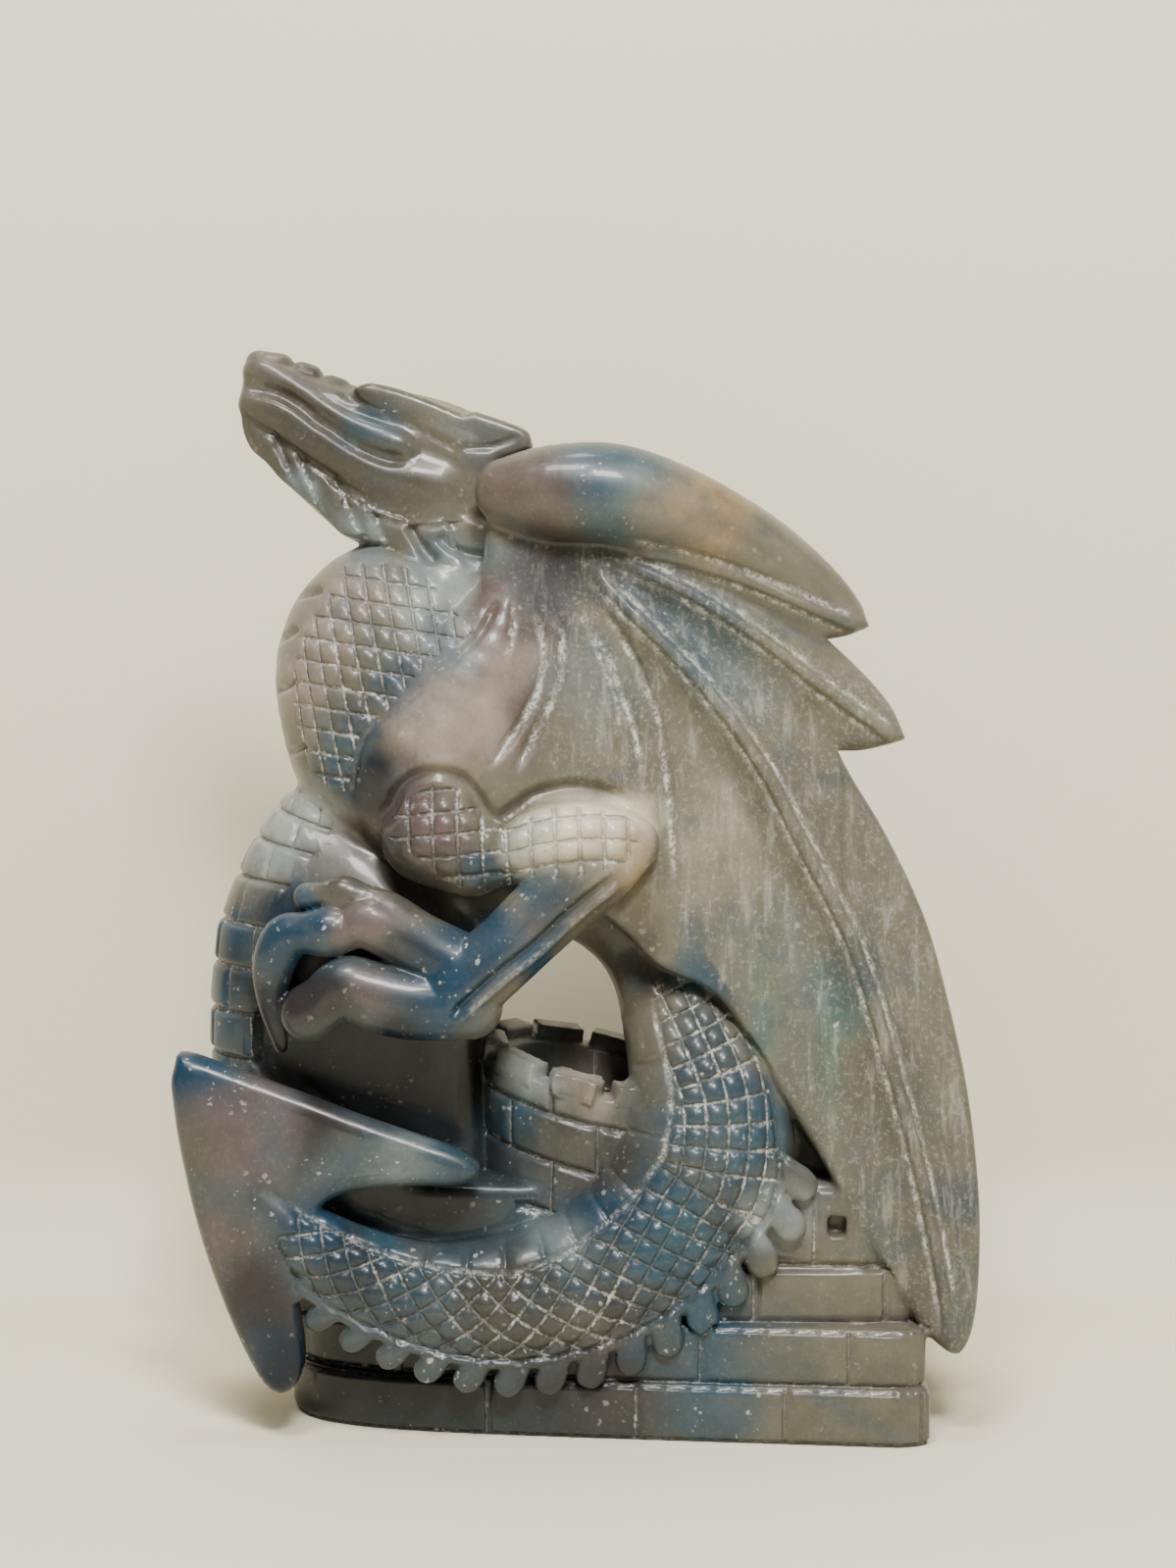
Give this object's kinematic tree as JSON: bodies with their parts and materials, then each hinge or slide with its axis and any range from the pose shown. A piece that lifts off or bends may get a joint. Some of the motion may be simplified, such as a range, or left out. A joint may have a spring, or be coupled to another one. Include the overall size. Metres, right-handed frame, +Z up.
{
  "type": "dragon statue",
  "caption": "Carved and polished stone dragon curled round a small brick castle, wings raised, on its own brick plinth.",
  "frame": {"origin": "middle of the statue's outline on the plane of its underside, which is the surface it stands on", "axes": "+Z up; the carved front looks along -Y; the dragon's head points towards -X and its wings sweep towards +X"},
  "size_m": [0.1472, 0.06, 0.1996],
  "materials": {
    "polished_stone": "polished"
  },
  "bodies": {
    "root": {"dragon_statue": "polished_stone"}
  },
  "joints": []
}
